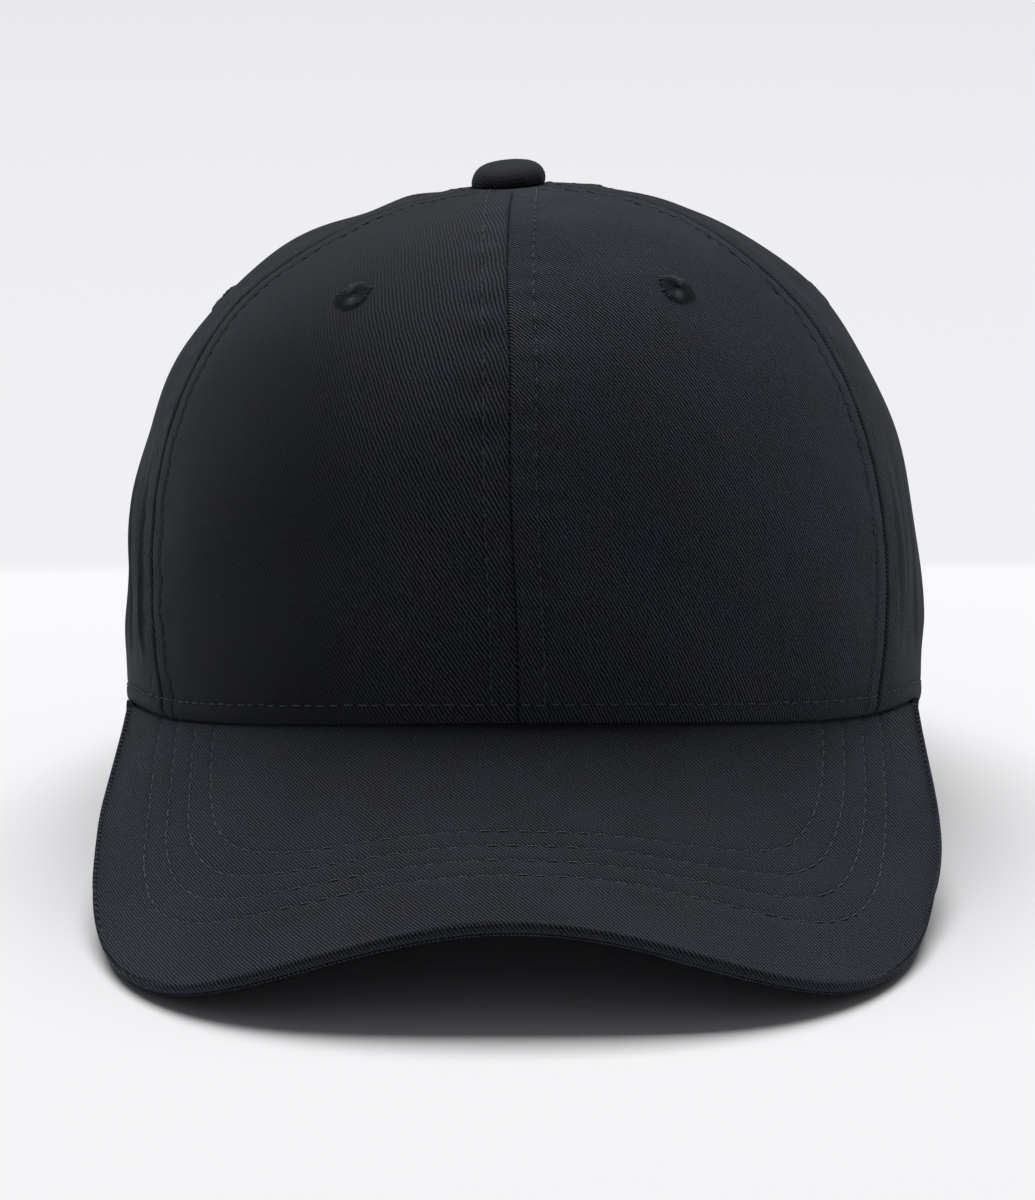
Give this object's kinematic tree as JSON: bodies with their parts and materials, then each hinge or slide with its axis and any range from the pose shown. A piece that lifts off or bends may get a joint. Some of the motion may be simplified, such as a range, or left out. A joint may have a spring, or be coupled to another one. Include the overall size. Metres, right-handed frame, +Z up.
{
  "type": "baseball cap",
  "caption": "Baseball cap: domed crown of sewn twill panels with vent eyelets and a top button, curved stitched brim, and a back strap with a flip-lever clasp.",
  "frame": {"origin": "middle of the footprint, on the surface that the cap stands on", "axes": "+Z up, the brim points to -Y, +X is the wearer's left; the cap stands on its brim corners and its back rim"},
  "size_m": [0.1776, 0.27, 0.1371],
  "materials": {
    "crown_twill": "cotton twill, charcoal navy, matt with a faint sheen",
    "brim_twill": "cotton twill on the brim, charcoal navy, matt",
    "button_twill": "cotton twill stretched over the button",
    "strap_twill": "folded cotton twill",
    "eyelet_thread": "embroidery thread, charcoal, slight sheen",
    "buckram": "stiffened open-weave cotton, off-white",
    "seam_tape": "plain woven tape, dark",
    "sweatband": "folded cotton twill over a thin foam strip",
    "label": "blank woven satin label",
    "brim_board": "polyethylene board, off-white",
    "clasp_metal": "antiqued plated steel, satin"
  },
  "bodies": {
    "cap": {"front_panel_left": "crown_twill", "front_panel_right": "crown_twill", "side_panel_left": "crown_twill", "side_panel_right": "crown_twill", "back_panel_left": "crown_twill", "back_panel_right": "crown_twill", "brim_top_fabric": "brim_twill", "brim_under_fabric": "brim_twill", "button_cover": "button_twill", "back_strap": "strap_twill", "strap_tab": "strap_twill", "back_opening_binding": "strap_twill", "eyelet_front_left": "eyelet_thread", "eyelet_side_left": "eyelet_thread", "eyelet_back_left": "eyelet_thread", "eyelet_front_right": "eyelet_thread", "eyelet_side_right": "eyelet_thread", "eyelet_back_right": "eyelet_thread", "front_buckram_left": "buckram", "front_buckram_right": "buckram", "seam_tape_front": "seam_tape", "seam_tape_back": "seam_tape", "seam_tape_front_left": "seam_tape", "seam_tape_front_right": "seam_tape", "seam_tape_rear_left": "seam_tape", "seam_tape_rear_right": "seam_tape", "sweatband": "sweatband", "size_label": "label", "brim_board": "brim_board", "buckle_frame": "clasp_metal", "buckle_pin": "clasp_metal", "tuck_grommet": "clasp_metal", "button_core": "clasp_metal", "button_tack": "clasp_metal"},
    "clasp_lever": {"buckle_lever": "clasp_metal"}
  },
  "joints": [
    {"name": "clasp_lever_hinge", "type": "hinge", "parent": "cap", "child": "clasp_lever", "pos_m": [-0.02374, 0.12801, 0.01091], "axis": [-0.0335, 0.2076, 0.9777], "range_deg": [0, 100]}
  ]
}
